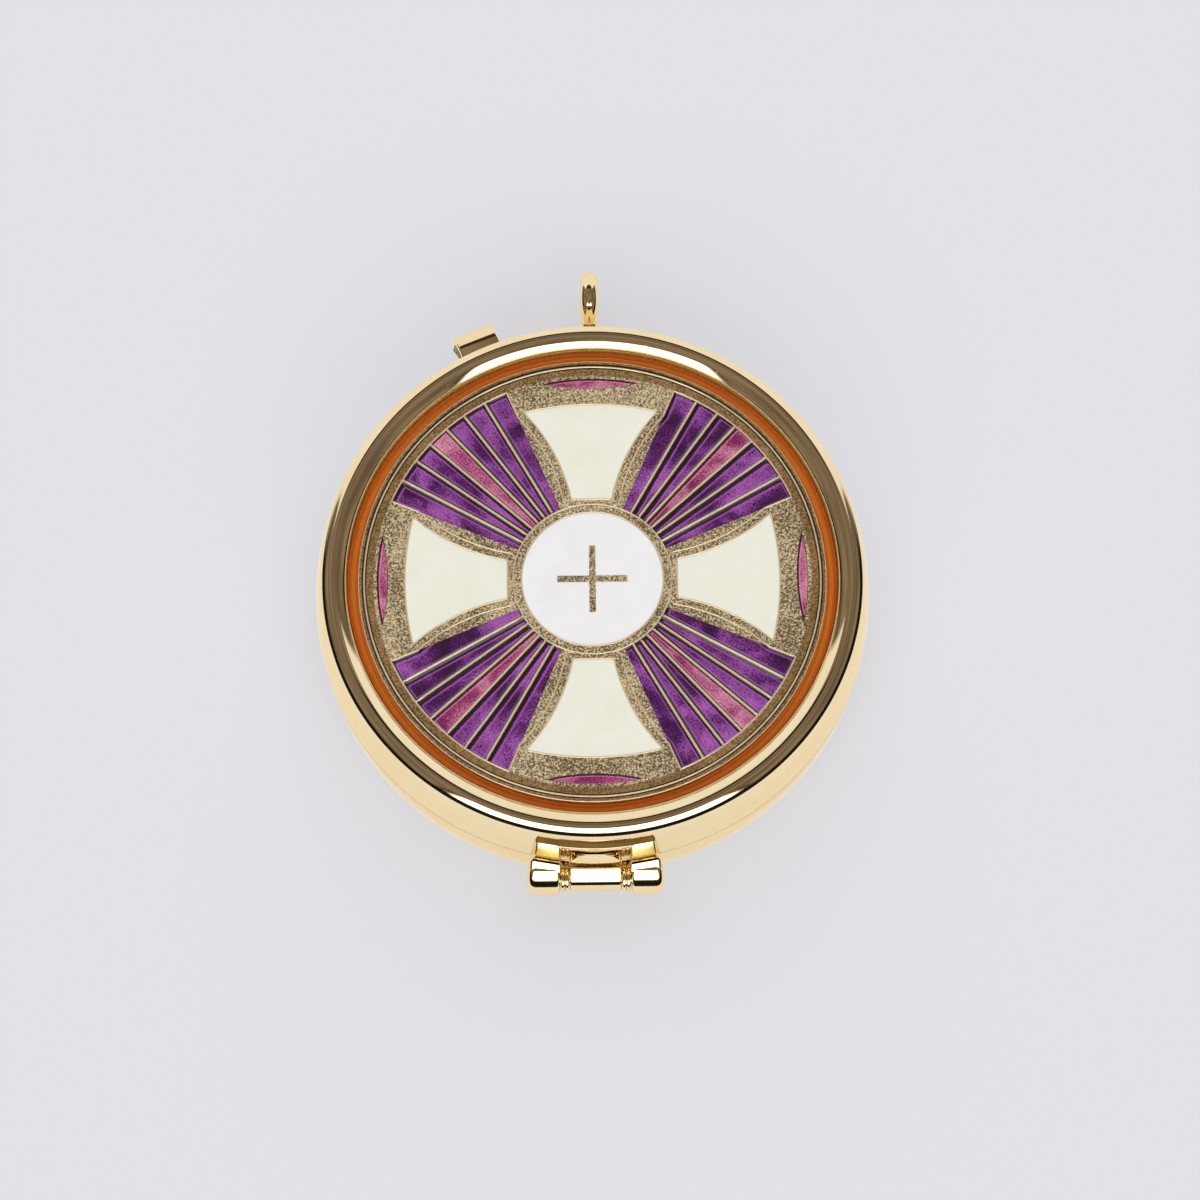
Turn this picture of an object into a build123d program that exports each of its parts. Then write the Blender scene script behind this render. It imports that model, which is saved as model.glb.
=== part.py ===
from build123d import *
from math import atan2, cos, degrees, radians, sin, tan
import os

# A pyx: a round gold-plated case of two shallow shells on a barrel hinge, with an enamelled medallion sunk in
# the lid, a thumb catch, and a fixed ring to hang it by. It lies flat, closed. Millimetres, +Z up, the origin in
# the middle of the underside. The hinge is at -Y, the ring at +Y.

# Case
case_radius = 27.0            # at the parting line, where the case is widest
case_height = 13.0            # underside to the crest of the bead
parting_gap = 0.1             # between the base wall and the lid skirt
wall = 0.7                    # sheet of both shells
floor_thickness = 0.9
foot_inset = 0.5              # how far the base wall draws in on its way down
foot_round = 1.4
cavity_bevel = 0.7            # corner inside the base, between floor and wall

# Lid
bead_radius = 1.45            # half-round bead round the top
bead_inset = 0.4              # how far the skirt draws in on its way up
pan_depth = 2.1               # bead crest to the floor of the pan
pan_bevel = 0.4               # corner between the pan's floor and its wall

# Collar inside the base, which the skirt closes over
skirt_clearance = 0.2
collar_thickness = 0.6
collar_rise = 1.4
collar_lead = 0.25            # bevelled lip

# Hinge
barrel_radius = 1.5
barrel_gap = 0.25             # barrel to the widest part of the wall
centre_knuckle_length = 5.0
outer_knuckle_length = 3.15
knuckle_round = 0.45          # rounded outer ends
knuckle_space = 0.95          # between centre and outer knuckles, for a washer
washer_play = 0.05
washer_radius = 1.1
washer_groove = 0.2           # depth and width of the groove round a washer
pin_radius = 0.6
pin_running_fit = 0.05
pin_recess = 0.1              # from a knuckle's end to the pin's
pin_bevel = 0.2
leaf_margin = 2.0             # a leaf's far edge to the crest of the bead, or to the underside
leaf_edge_stand = 0.25        # a leaf's far edge, out past the case radius
leaf_root_stand = 0.85        # a lug where it meets the barrel, out past the case radius
bridge_stand = 0.4            # the thinner plate between and beside the lugs
leaf_half_width = 5.85        # at the far edge, less than at the barrel
leaf_bite = 2.5               # how far a leaf's blank reaches in before the wall shapes it
leaf_clearance = 0.3          # plate of the base leaf to the outer knuckles
valley_round = 0.3
arch_half_width = 2.3         # arched lower edge of the lid leaf's bridge
arch_rise = 0.9

# Hanging ring
ring_wire_radius = 0.92
ring_radius = 2.05            # centre line of the wire
ring_drop = 2.25              # parting line down to the middle of the ring
ring_reach = 5.35             # case radius to the middle of the ring
ring_post_radius = 0.8
ring_flange_radius = 1.5
ring_flange_thickness = 0.5

# Thumb catch
catch_angle = 113.0           # round from +X
catch_width = 4.1
catch_sheet = 0.8
catch_reach = 3.2             # out past the case radius
catch_bend = 1.2              # outside radius of the bend
catch_rise = 2.7              # parting line up to the flat top
catch_foot = 2.0              # length of the leg that is soldered to the skirt
catch_drop = 1.7              # how far the hook goes below the parting line
nib_radius = 0.55             # pressed dimple inside the hook
stud_radius = 0.5
stud_length = 2.4
stud_rise = 0.85              # stud centre, below the parting line
catch_play = 0.12             # dimple to stud

# Medallion
plate_groove = 1.1            # round the plate, to the wall of the pan
plate_thickness = 0.9
rim_width = 0.3
rim_rise = 0.12
border_width = 1.45           # plain gold outside the enamel
cell_depth = 0.5
enamel_sink = 0.06            # enamel below the ground
disc_radius = 6.9
disc_ring = 0.8               # gold ring round the white disc
disc_cross_half_length = 3.4
disc_cross_width = 0.6
arm_gap = 0.5                 # gold between that ring and an arm
arm_sliver_gap = 1.6          # gold from an arm's end to the sliver beyond it
arm_root_half_width = 2.0
arm_end_half_width = 6.6
arm_waist = 0.8               # how far an arm's side curves in
arm_end_bulge = 0.8
ground_width = 0.75           # gold frame round an arm
ray_width = 0.25
ray_angles = (3.0, 9.0, 15.5)
sliver_half_angle = 13.0
sliver_width = 1.1

overrun = 1.0                 # how far a cutter passes what it cuts
arms = 4
quarter_turn = 360 / arms


# Worked out from the sizes above
axis_z = case_height / 2
base_height = axis_z - parting_gap / 2
skirt_bottom = axis_z + parting_gap / 2
axis_y = -(case_radius + barrel_gap + barrel_radius)
bead_centre = (case_radius - bead_inset - bead_radius, case_height - bead_radius)
foot_centre = (case_radius - foot_inset - foot_round, foot_round)
pan_floor = case_height - pan_depth
leaf_height = axis_z - leaf_margin
ring_centre_height = base_height - ring_drop
catch_top = axis_z + catch_rise
plate_radius = bead_centre[0] - bead_radius - plate_groove
field_radius = plate_radius - border_width
sliver_outer = field_radius - ray_width
arm_end_radius = sliver_outer - sliver_width - arm_sliver_gap
collar_radius = case_radius - wall - skirt_clearance
barrel_half_length = centre_knuckle_length / 2 + knuckle_space + outer_knuckle_length
lug_start = centre_knuckle_length / 2 + knuckle_space
arm_spread = degrees(atan2(arm_end_half_width + ground_width, arm_end_radius - arm_end_bulge))


def on_circle(centre, radius, angle):
    """The point at an angle in degrees on a circle in a section."""
    return (centre[0] + radius * cos(radians(angle)), centre[1] + radius * sin(radians(angle)))


def arc(centre, radius, start, end):
    """An arc by its centre, its radius and its two angles."""
    middle = (start + end) / 2
    return ThreePointArc(*[on_circle(centre, radius, angle) for angle in (start, middle, end)])


def chain(*points):
    """Straight lines from point to point."""
    return Polyline(*points)


def turned(*lines):
    """A solid turned about Z from a section whose points are (radius, height)."""
    return revolve(Plane.XZ * make_face(Curve() + list(lines)), axis=Axis.Z)


def wall_arc(centre, small_radius, parting_height):
    """The bulged wall: upright at the parting line, and tangent to the small round at its other end.

    The two circles touch from inside, so their centres lie the difference of their radii apart.
    Returns the wall's centre and radius, and the angle at which the two arcs meet.
    """
    inset = case_radius - centre[0] - small_radius
    across = case_radius - centre[0]
    rise = centre[1] - parting_height
    radius = (rise**2 + across**2 - small_radius**2) / (2 * inset)
    middle = (case_radius - radius, parting_height)
    return middle, radius, degrees(atan2(rise, centre[0] - middle[0]))


base_arc = wall_arc(foot_centre, foot_round, base_height)
lid_arc = wall_arc(bead_centre, bead_radius, skirt_bottom)


def base_outside():
    """The base as one full body, without its inside."""
    middle, radius, meet = base_arc
    return turned(
        arc(middle, radius, 0, meet),
        arc(foot_centre, foot_round, meet, -90),
        chain(on_circle(foot_centre, foot_round, -90), (0, 0), (0, base_height), (case_radius, base_height)),
    )


def lid_outside():
    """The lid's skirt and bead as one full body, without pan or inside."""
    middle, radius, meet = lid_arc
    return turned(
        arc(middle, radius, 0, meet),
        arc(bead_centre, bead_radius, meet, 90),
        chain(on_circle(bead_centre, bead_radius, 90), (0, case_height), (0, skirt_bottom),
              (case_radius, skirt_bottom)),
    )


def base_cup():
    """Spun cup: bulged wall, rounded foot, and a straight inside that holds the collar."""
    cavity = Cylinder(collar_radius, base_height, align=(Align.CENTER, Align.CENTER, Align.MIN))
    cavity = chamfer(cavity.edges().group_by(Axis.Z)[0], cavity_bevel)
    return base_outside() - Pos(0, 0, floor_thickness) * cavity


def base_collar():
    """Thin ring pressed into the base. It stands proud, and the lid's skirt closes over it."""
    bottom = floor_thickness + cavity_bevel
    height = base_height + collar_rise - bottom
    ring = Cylinder(collar_radius, height) - Cylinder(collar_radius - collar_thickness, height)
    ring = chamfer(ring.edges().group_by(Axis.Z)[-1].sort_by(SortBy.LENGTH)[-1], collar_lead)
    return Pos(0, 0, bottom + height / 2) * ring


def lid_shell():
    """Spun lid of one sheet: skirt, hollow bead and sunk pan."""
    middle, radius, meet = lid_arc
    pan_wall = bead_centre[0] - bead_radius
    pan_under = pan_floor - wall
    hollow_top = case_height - wall
    hollow_half = (bead_radius - wall) / 2
    return turned(
        arc(middle, radius, 0, meet),
        arc(bead_centre, bead_radius, meet, 180),
        chain((pan_wall, bead_centre[1]), (pan_wall, pan_floor + pan_bevel), (pan_wall - pan_bevel, pan_floor),
              (0, pan_floor), (0, pan_under), (pan_wall - pan_bevel, pan_under),
              (pan_wall + wall, pan_floor + pan_bevel), (pan_wall + wall, bead_centre[1]),
              (bead_centre[0] - hollow_half, hollow_top), (bead_centre[0] + hollow_half, hollow_top),
              on_circle(middle, radius - wall, meet)),
        arc(middle, radius - wall, meet, 0),
        chain((case_radius - wall, skirt_bottom), (case_radius, skirt_bottom)),
    )


def plate_section(up, stand, root):
    """Section of a leaf's plate across the hinge, thinning from its root by the barrel to its far edge.

    up is 1 for the lid's leaf and -1 for the base's.
    """
    edge = axis_z + up * leaf_height
    inner = -(case_radius - leaf_bite)
    return make_face(Polyline((inner, edge), (-(case_radius + leaf_edge_stand), edge),
                              (-(case_radius + stand), root), (inner, root), close=True))


def lug_section(up, end):
    """Section of a lug: the plate, down to the parting line at end, joined to the barrel by a hollow valley."""
    outer = -(case_radius + leaf_root_stand)
    valley = axis_z + up * (barrel_radius**2 - (outer - axis_y) ** 2) ** 0.5
    inner = -(case_radius - leaf_bite)
    blank = make_face(Polyline((inner, axis_z + up * leaf_height),
                               (-(case_radius + leaf_edge_stand), axis_z + up * leaf_height),
                               (outer, valley), (axis_y, axis_z), (outer, end), (inner, end), close=True))
    section = blank + Pos(axis_y, axis_z) * Circle(barrel_radius)
    return fillet(section.vertices().sort_by_distance(Vector(outer, valley))[0], valley_round)


def across_hinge(section, start, end):
    """A section across the hinge, drawn out along X from start to end."""
    return Pos(start, 0, 0) * extrude(Plane.YZ * section, end - start)


def pin_bore(radius):
    """A bore along the whole barrel."""
    return Pos(0, axis_y, axis_z) * Cylinder(radius, 2 * (barrel_half_length + overrun), rotation=(0, 90, 0))


def front_outline():
    """What is left of the lid's leaf seen from in front: narrower at its far edge than at the barrel."""
    edge = axis_z + leaf_height
    root = axis_z + barrel_radius
    half = barrel_half_length - knuckle_round
    outline = Polyline((-leaf_half_width, edge), (leaf_half_width, edge), (half, root), (half, skirt_bottom),
                       (-half, skirt_bottom), (-half, root), close=True)
    return extrude(Plane.XZ * make_face(outline), 2 * case_radius)


def outer_knuckle(side):
    """A length of barrel with a rounded outer end."""
    blank = Cylinder(barrel_radius, outer_knuckle_length)
    blank = fillet(blank.edges().filter_by(GeomType.CIRCLE).sort_by(Axis.Z)[-1], knuckle_round)
    place = Pos(side * (lug_start + outer_knuckle_length / 2), axis_y, axis_z)
    return place * Rot(0, side * 90, 0) * blank


def lid_hinge_leaf():
    """Two lugs with the outer knuckles, joined by a thinner bridge whose lower edge is arched."""
    lug = lug_section(1, skirt_bottom)
    bridge = plate_section(1, bridge_stand, axis_z + barrel_radius)
    leaf = across_hinge(bridge, -lug_start, lug_start)
    leaf += across_hinge(lug, -barrel_half_length, -lug_start)
    leaf += across_hinge(lug, lug_start, barrel_half_length)
    arch_radius = (arch_half_width**2 + arch_rise**2) / (2 * arch_rise)
    arch_centre = axis_z + barrel_radius + arch_rise - arch_radius
    arch = Cylinder(arch_radius, 2 * case_radius, rotation=(90, 0, 0))
    arch &= Box(2 * arch_half_width, 2 * case_radius, 2 * arch_radius)
    leaf -= Pos(0, -case_radius, arch_centre) * arch
    leaf &= front_outline()
    leaf += outer_knuckle(-1) + outer_knuckle(1)
    return leaf - lid_outside() - pin_bore(pin_radius + pin_running_fit)


def base_hinge_leaf():
    """A plate low on the base wall with one lug in its middle, which carries the centre knuckle."""
    half = centre_knuckle_length / 2
    plate_edge = axis_z - barrel_radius - leaf_clearance
    plate = plate_section(-1, bridge_stand, plate_edge)
    lug = lug_section(-1, base_height)
    leaf = across_hinge(plate, -leaf_half_width, leaf_half_width) + across_hinge(lug, -half, half)
    return leaf - base_outside() - pin_bore(pin_radius)


def hinge_pin():
    """The pin, tight in the centre knuckle and running in the outer ones."""
    length = 2 * (barrel_half_length - pin_recess)
    pin = chamfer(Cylinder(pin_radius, length).edges().filter_by(GeomType.CIRCLE), pin_bevel)
    return Pos(0, axis_y, axis_z) * Rot(0, 90, 0) * pin


def hinge_washer(side):
    """A spacer on the pin with a groove round it, beside the centre knuckle."""
    length = knuckle_space - washer_play
    washer = Cylinder(washer_radius, length) - Cylinder(pin_radius, length)
    groove = Cylinder(washer_radius, washer_groove) - Cylinder(washer_radius - washer_groove, washer_groove)
    place = side * (centre_knuckle_length + length) / 2
    return Pos(place, axis_y, axis_z) * Rot(0, 90, 0) * (washer - groove)


def ring_place():
    """The middle of the hanging ring."""
    return Pos(0, case_radius + ring_reach, ring_centre_height)


def hanging_ring():
    """A closed wire ring standing upright, its hole across the case."""
    return ring_place() * Rot(0, 90, 0) * Torus(ring_radius, ring_wire_radius)


def ring_foot():
    """A post with a flange, soldered to the base wall, its end shaped to the ring."""
    toward_ring = Rot(-90, 0, 0)
    root = Pos(0, case_radius - leaf_bite, ring_centre_height) * toward_ring
    upward = (Align.CENTER, Align.CENTER, Align.MIN)
    post = root * Cylinder(ring_post_radius, leaf_bite + ring_reach - ring_radius, align=upward)
    flange = root * Cylinder(ring_flange_radius, leaf_bite + ring_flange_thickness, align=upward)
    return post + flange - base_outside() - hanging_ring()


def catch_section():
    """Section of the thumb catch: soldered leg, flat top, bend, and a hook with a pressed dimple."""
    inner = case_radius - leaf_bite
    outer = case_radius + catch_reach
    bottom = axis_z - catch_drop
    leg = case_radius + catch_sheet
    bend = (outer - catch_bend, catch_top - catch_bend)
    under = catch_top - catch_sheet
    lines = [
        chain((inner, catch_top), (bend[0], catch_top)),
        arc(bend, catch_bend, 90, 0),
        chain((outer, bend[1]), (outer, bottom), (outer - catch_sheet, bottom), (outer - catch_sheet, bend[1])),
        arc(bend, catch_bend - catch_sheet, 0, 90),
        chain((bend[0], under), (leg, under), (leg, catch_top - catch_foot), (inner, catch_top - catch_foot),
              (inner, catch_top)),
    ]
    section = make_face(Curve() + lines)
    nib = Pos(outer - catch_sheet, bottom + nib_radius) * Circle(nib_radius)
    return section + nib


def thumb_catch():
    """A bent strip soldered to the skirt, whose hook reaches down past the parting line."""
    strip = extrude(Plane.XZ * catch_section(), catch_width / 2, both=True)
    return Rot(0, 0, catch_angle) * (strip - lid_outside())


def catch_stud():
    """A short half-round bar on the base wall, which the catch's dimple snaps under."""
    reach = case_radius + catch_reach - catch_sheet - nib_radius - catch_play
    height = axis_z - stud_rise
    bar = Pos(reach - stud_radius, 0, height) * Cylinder(stud_radius, stud_length, rotation=(90, 0, 0))
    web_length = reach - stud_radius - case_radius + leaf_bite
    web = Pos(reach - stud_radius - web_length / 2, 0, height) * Box(web_length, stud_length, 2 * stud_radius)
    return Rot(0, 0, catch_angle) * (bar + web - base_outside())


def arm_outline():
    """One arm of the splayed cross, along +Y, with sides that curve in and a rounded end."""
    root = disc_radius + disc_ring + arm_gap
    corner = (arm_end_half_width, arm_end_radius - arm_end_bulge)
    waist = ((arm_root_half_width + arm_end_half_width) / 2 - arm_waist, (root + corner[1]) / 2)
    start = (arm_root_half_width, root)
    left = [(-x, y) for x, y in (start, waist, corner)]
    return make_face(Curve() + [
        ThreePointArc(start, waist, corner),
        ThreePointArc(corner, (0, arm_end_radius), left[2]),
        ThreePointArc(*reversed(left)),
        Line(left[0], start),
    ])


def ray(angle):
    """A thin gold line from the middle outward."""
    line = Rectangle(field_radius + overrun, ray_width, align=(Align.MIN, Align.CENTER))
    return Rot(0, 0, angle) * line


def wedge(half_angle):
    """A sector about +X, as far as the enamel's edge."""
    reach = field_radius + overrun
    half_chord = reach * tan(radians(half_angle))
    return make_face(Polyline((0, 0), (reach, half_chord), (reach, -half_chord), close=True)) & Circle(field_radius)


def all_round(shape, turn=0):
    """The same shape at each arm."""
    return [Rot(0, 0, turn + index * quarter_turn) * shape for index in range(arms)]


def sliver():
    """A thin pointed leaf beyond an arm's end, along +Y."""
    half = field_radius * sin(radians(sliver_half_angle))
    tip_y = field_radius * cos(radians(sliver_half_angle)) - ray_width
    top = (0, sliver_outer)
    bottom = (0, sliver_outer - sliver_width)
    return make_face(Curve() + [
        ThreePointArc((-half, tip_y), top, (half, tip_y)),
        ThreePointArc((half, tip_y), bottom, (-half, tip_y)),
    ])


def enamel_cells():
    """The outlines of the enamel, one group for each colour."""
    cross = Rectangle(2 * disc_cross_half_length, disc_cross_width)
    cross += Rectangle(disc_cross_width, 2 * disc_cross_half_length)
    white = Circle(disc_radius) - cross
    cream = Sketch() + all_round(arm_outline())
    framed = Sketch() + all_round(offset(arm_outline(), ground_width))
    quarters = Circle(field_radius) - Circle(disc_radius + disc_ring) - framed
    quarters -= Sketch() + all_round(wedge(arm_spread), quarter_turn)
    beams = Sketch() + all_round(wedge(ray_angles[0]), quarter_turn / 2)
    lines = Sketch() + [part for side in (-1, 1) for angle in ray_angles
                        for part in all_round(ray(side * angle), quarter_turn / 2)]
    return {
        "enamel_white": white,
        "enamel_cream": cream,
        "enamel_purple": quarters - beams - lines,
        "enamel_magenta": (quarters & beams) - lines + all_round(sliver()),
    }


def medallion(cells):
    """The struck plate with its sunk cells and raised edge line, and the enamel that fills them."""
    ground = pan_floor + plate_thickness
    plate = Pos(0, 0, pan_floor) * extrude(Circle(plate_radius), plate_thickness)
    rim = Circle(plate_radius) - Circle(plate_radius - rim_width)
    plate += Pos(0, 0, ground) * extrude(rim, rim_rise)
    pieces = {}
    for name, outline in cells.items():
        plate -= Pos(0, 0, ground - cell_depth) * extrude(outline, cell_depth + overrun)
        pieces[name] = Pos(0, 0, ground - cell_depth) * extrude(outline, cell_depth - enamel_sink)
    return {"medallion_plate": plate, **pieces}


pieces = {
    "base_cup": base_cup(),
    "base_collar": base_collar(),
    "base_hinge_leaf": base_hinge_leaf(),
    "hinge_pin": hinge_pin(),
    "hinge_washer_left": hinge_washer(-1),
    "hinge_washer_right": hinge_washer(1),
    "hanging_ring": hanging_ring(),
    "ring_foot": ring_foot(),
    "catch_stud": catch_stud(),
    "lid_shell": lid_shell(),
    "lid_hinge_leaf": lid_hinge_leaf(),
    "thumb_catch": thumb_catch(),
    **medallion(enamel_cells()),
}

os.makedirs("parts", exist_ok=True)
for name, piece in pieces.items():
    export_step(piece, f"parts/{name}.step")
    print(name, len(piece.solids()), round(piece.volume, 1))
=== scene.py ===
# %% [markdown]
# # A hinged pyx in gilt and enamel
# A pyx is a small round case in which communion bread is carried. This one has two shallow spun shells, plated in
# bright gold, which open on a barrel hinge. A struck medallion with sunk enamel fills the lid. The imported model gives
# the frame: every piece below sits where it says, in metres, and moves with one of its two bodies.

from math import atan2, cos, degrees, radians, sin

import bmesh
import bpy
import numpy as np
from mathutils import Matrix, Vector


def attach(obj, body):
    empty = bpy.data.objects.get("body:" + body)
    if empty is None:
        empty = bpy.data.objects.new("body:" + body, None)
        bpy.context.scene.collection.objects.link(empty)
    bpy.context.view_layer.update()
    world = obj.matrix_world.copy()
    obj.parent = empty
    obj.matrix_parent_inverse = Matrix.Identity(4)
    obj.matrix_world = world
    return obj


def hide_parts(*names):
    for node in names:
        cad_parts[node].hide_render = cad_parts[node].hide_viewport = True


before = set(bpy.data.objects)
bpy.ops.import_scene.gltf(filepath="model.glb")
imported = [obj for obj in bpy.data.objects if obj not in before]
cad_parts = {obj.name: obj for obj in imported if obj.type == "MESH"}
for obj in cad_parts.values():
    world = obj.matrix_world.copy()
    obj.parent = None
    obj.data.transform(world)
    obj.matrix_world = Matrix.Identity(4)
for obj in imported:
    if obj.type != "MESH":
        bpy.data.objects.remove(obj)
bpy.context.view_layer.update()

# %% [markdown]
# ## The camera
# The case lies flat and is seen from steeply above, so the picture shows the lid almost as a circle and a thin
# crescent of its near wall. A long lens half a metre away keeps the circle nearly free of perspective. The camera
# stands a little off the hinge's side, by the angle that the hinge and the ring show between them.

# %% Camera
camera_elevation, camera_turn = radians(70.3), radians(-0.65)
camera_distance = 0.5
camera_target = Vector((0.00073, -0.00027, 0.00637))
camera_back = Vector((
    sin(camera_turn) * cos(camera_elevation), -cos(camera_turn) * cos(camera_elevation), sin(camera_elevation)))
camera = bpy.data.objects.new("camera", bpy.data.cameras.new("camera"))
bpy.context.scene.collection.objects.link(camera)
camera.location = camera_target + camera_distance * camera_back
camera.rotation_euler = (-camera_back).to_track_quat("-Z", "Y").to_euler()
camera.data.sensor_width = 36
camera.data.lens = 153.3
camera.data.clip_start, camera.data.clip_end = 0.01, 20
bpy.context.scene.camera = camera
bpy.context.scene.view_settings.view_transform = "Standard"
print("camera at", tuple(round(value, 3) for value in camera.location))

# %% [markdown]
# ## Nodes, and the studio
# Polished gold has no colour of its own to show: it shows the room. So the room comes first. It could be built from
# lamps and cards, but a world that gives a brightness to each direction has cleaner edges in the metal and no noise.
# Seen round the horizon from the hinge's side: a large soft box high on that side in a black frame, a dark gap under
# it down past the table's edge, a pale wall on the far side, and a dim warm ceiling and sides. The ceiling is why flat
# gold looks brown. A very wide overhead lamp, a little beyond the case, fills in the paper and the enamel, and it is
# kept out of the gold by its own ray visibility, as a photographer keeps a lamp out of a mirror.

# %% Helpers for shader nodes
def open_tree(owner):
    """Empties the node tree of a world or a material. The nodes made next go there, until another is opened."""
    global tree
    owner.use_nodes = True
    tree = owner.node_tree
    tree.nodes.clear()


def node(kind, settings=None, **inputs):
    """Adds a node. An input that is given a socket, or a node for its first output, is linked to it. Any other gets
    the value itself, a colour with a 1 after its three numbers. An underscore stands for a space in an input's name,
    and _0, _1, _2 are inputs by their number."""
    made = tree.nodes.new("ShaderNode" + kind)
    for key, value in (settings or {}).items():
        setattr(made, key, value)
    for key, value in inputs.items():
        socket = made.inputs[int(key[1:])] if key[0] == "_" else made.inputs[key.replace("_", " ")]
        value = value.outputs[0] if isinstance(value, bpy.types.Node) else value
        if isinstance(value, bpy.types.NodeSocket):
            tree.links.new(value, socket)
        else:
            socket.default_value = (*value, 1) if socket.type == "RGBA" else value
    return made


def maths(operation, *values):
    """The result of one step of arithmetic."""
    return node("Math", {"operation": operation}, **{f"_{place}": value for place, value in enumerate(values)})


def times(first, second):
    """The product of two numbers."""
    return maths("MULTIPLY", first, second)


def smooth_step(value, low, high, low_result=0.0, high_result=1.0):
    """Goes smoothly from one result to the other as the value goes from low to high."""
    return node("MapRange", {"interpolation_type": "SMOOTHSTEP"}, Value=value, From_Min=low, From_Max=high,
                To_Min=low_result, To_Max=high_result)


def between(value, low, high, soft):
    """One between two limits and zero outside them, with the change spread over the softness on both sides."""
    return times(smooth_step(value, low - soft, low + soft), smooth_step(value, high - soft, high + soft, 1.0, 0.0))


def mixed(share, first, second):
    """A colour that goes from the first to the second as the share goes from 0 to 1."""
    return node("Mix", {"data_type": "RGBA"}, _0=share, _6=first, _7=second).outputs[2]


def noise(place, scale, detail, settings=None, **more):
    """A noise texture."""
    return node("TexNoise", settings, Vector=place, Scale=scale, Detail=detail, **more)


def turn_from_hinge(x, y):
    """The angle round from the hinge's side in degrees, the same to the left and to the right."""
    return maths("DEGREES", maths("ARCTAN2", maths("ABSOLUTE", x), times(y, -1.0)))


def from_axis(x, y):
    """The distance from the case's axis."""
    return node("VectorMath", {"operation": "LENGTH"}, _0=node("CombineXYZ", X=x, Y=y)).outputs["Value"]


def blank_material(name):
    """A material whose empty tree is open, and the place that a piece's own coordinates give."""
    material = bpy.data.materials.new(name)
    open_tree(material)
    return material, node("TexCoord").outputs["Object"]


def ends_in(**inputs):
    """Ends a material in a surface with these inputs."""
    node("OutputMaterial", Surface=node("BsdfPrincipled", **inputs))


# %% The world
world = bpy.data.worlds.new("studio")
bpy.context.scene.world = world
open_tree(world)
direction = node("TexCoord").outputs["Generated"]
x, y, z = node("SeparateXYZ", Vector=direction).outputs
height_angle, side_angle = maths("DEGREES", maths("ARCSINE", z)), turn_from_hinge(x, y)


def patch(low, high, near, far, soft, side_soft):
    """One inside a patch of the room between two heights and two side angles, in degrees, and zero outside it."""
    return times(between(height_angle, low, high, soft), between(side_angle, near, far, side_soft))


dim_ceiling, lit_ceiling, near_black = (0.13, 0.105, 0.085), (0.27, 0.215, 0.172), (0.012, 0.01, 0.008)
patches = [  # low, high, near and far angle, softness up and across, and the colour; later ones lie on top
    (44, 60, 145, 200, 2.0, 2.0, (0.04, 0.025, 0.01)),  # shade over the far wall
    (-30, 43, 128, 200, 1.5, 2.0, (0.93, 0.94, 0.96)),  # far wall
    (-30, 62, -20, 48, 2.0, 2.0, (0.05, 0.045, 0.04)),  # frame of the soft box
    (19, 57, -20, 43, 2.0, 2.0, (2.8, 2.8, 2.8)),  # soft box
    (-40, 15, -20, 120, 2.0, 9.0, near_black),  # gap past the table's near edge
]
reflected = mixed(smooth_step(noise(direction, 2.3, 2.0), 0.35, 0.65), dim_ceiling, lit_ceiling)
for *limits, colour in patches:
    reflected = mixed(patch(*limits), reflected, colour)
backdrop = (0.77, 0.77, 0.81)
lit = node("Background", Color=reflected, Strength=1.0)
beyond = node("Background", Color=backdrop, Strength=1.0)
camera_ray = node("LightPath").outputs["Is Camera Ray"]
node("OutputWorld", Surface=node("MixShader", _0=camera_ray, _1=lit, _2=beyond))
print("world nodes:", len(tree.nodes), "patches:", len(patches))

# %% The overhead lamp
overhead = bpy.data.objects.new("overhead", bpy.data.lights.new("overhead", "SUN"))
bpy.context.scene.collection.objects.link(overhead)
overhead.data.energy, overhead.data.angle, overhead.data.color = 1.22, radians(75), (0.97, 0.985, 1.0)
overhead.rotation_euler = (radians(-24), 0, 0)
overhead.visible_glossy = False
print("overhead lamp:", overhead.data.energy)

# %% [markdown]
# ## The table
# A sheet of pale lavender-grey paper, lit so evenly that the case hardly shades it. Light Path tells the rays apart:
# to the camera the paper keeps its tone and a faint shadow, and in the gold it is a painted reflection, nearly white
# out to a painted edge, past which it is painted near black, standing for the dark room beyond. That edge is the dark
# line round every bright curve of the metal.

# %% Floor
floor_half, floor_drop = 1.5, 0.00002
paper_tone, paper_painted_reflection = (0.765, 0.765, 0.81), (0.93, 0.955, 1.03)
painted_edge_reach, painted_edge_side, glow_share = (0.068, 0.08), (111.0, 129.0), 0.62
corners = ((-1, -1), (1, -1), (1, 1), (-1, 1))
floor_mesh = bpy.data.meshes.new("floor")
floor_mesh.from_pydata([(x * floor_half, y * floor_half, -floor_drop) for x, y in corners], [], [(0, 1, 2, 3)])
floor = bpy.data.objects.new("floor", floor_mesh)
bpy.context.scene.collection.objects.link(floor)
paper, where = blank_material("paper")
out = node("VectorMath", {"operation": "LENGTH"}, _0=where).outputs["Value"]
x, y, z = node("SeparateXYZ", Vector=where).outputs
# Painted reflection: glossy rays see the paper brighter than the camera does, and painted near black past this edge.
painted_dark_edge = times(smooth_step(out, *painted_edge_reach), smooth_step(turn_from_hinge(x, y), *painted_edge_side, 1.0, 0.0))
rays = node("LightPath").outputs
paper_colour = mixed(rays["Is Glossy Ray"], paper_tone, mixed(painted_dark_edge, paper_painted_reflection, near_black))
paper_bump = node("Bump", Strength=0.15, Distance=0.00005, Height=noise(where, 900.0, 4.0))
paper_face = node("BsdfDiffuse", Color=paper_colour, Normal=paper_bump)
paper_glow = node("Emission", Color=paper_colour, Strength=1.0)
direct = times(maths("MAXIMUM", rays["Is Camera Ray"], rays["Is Glossy Ray"]), glow_share)
node("OutputMaterial", Surface=node("MixShader", _0=direct, _1=paper_face, _2=paper_glow))
floor_mesh.materials.append(paper)
print("floor:", 2 * floor_half, "m")

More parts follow.
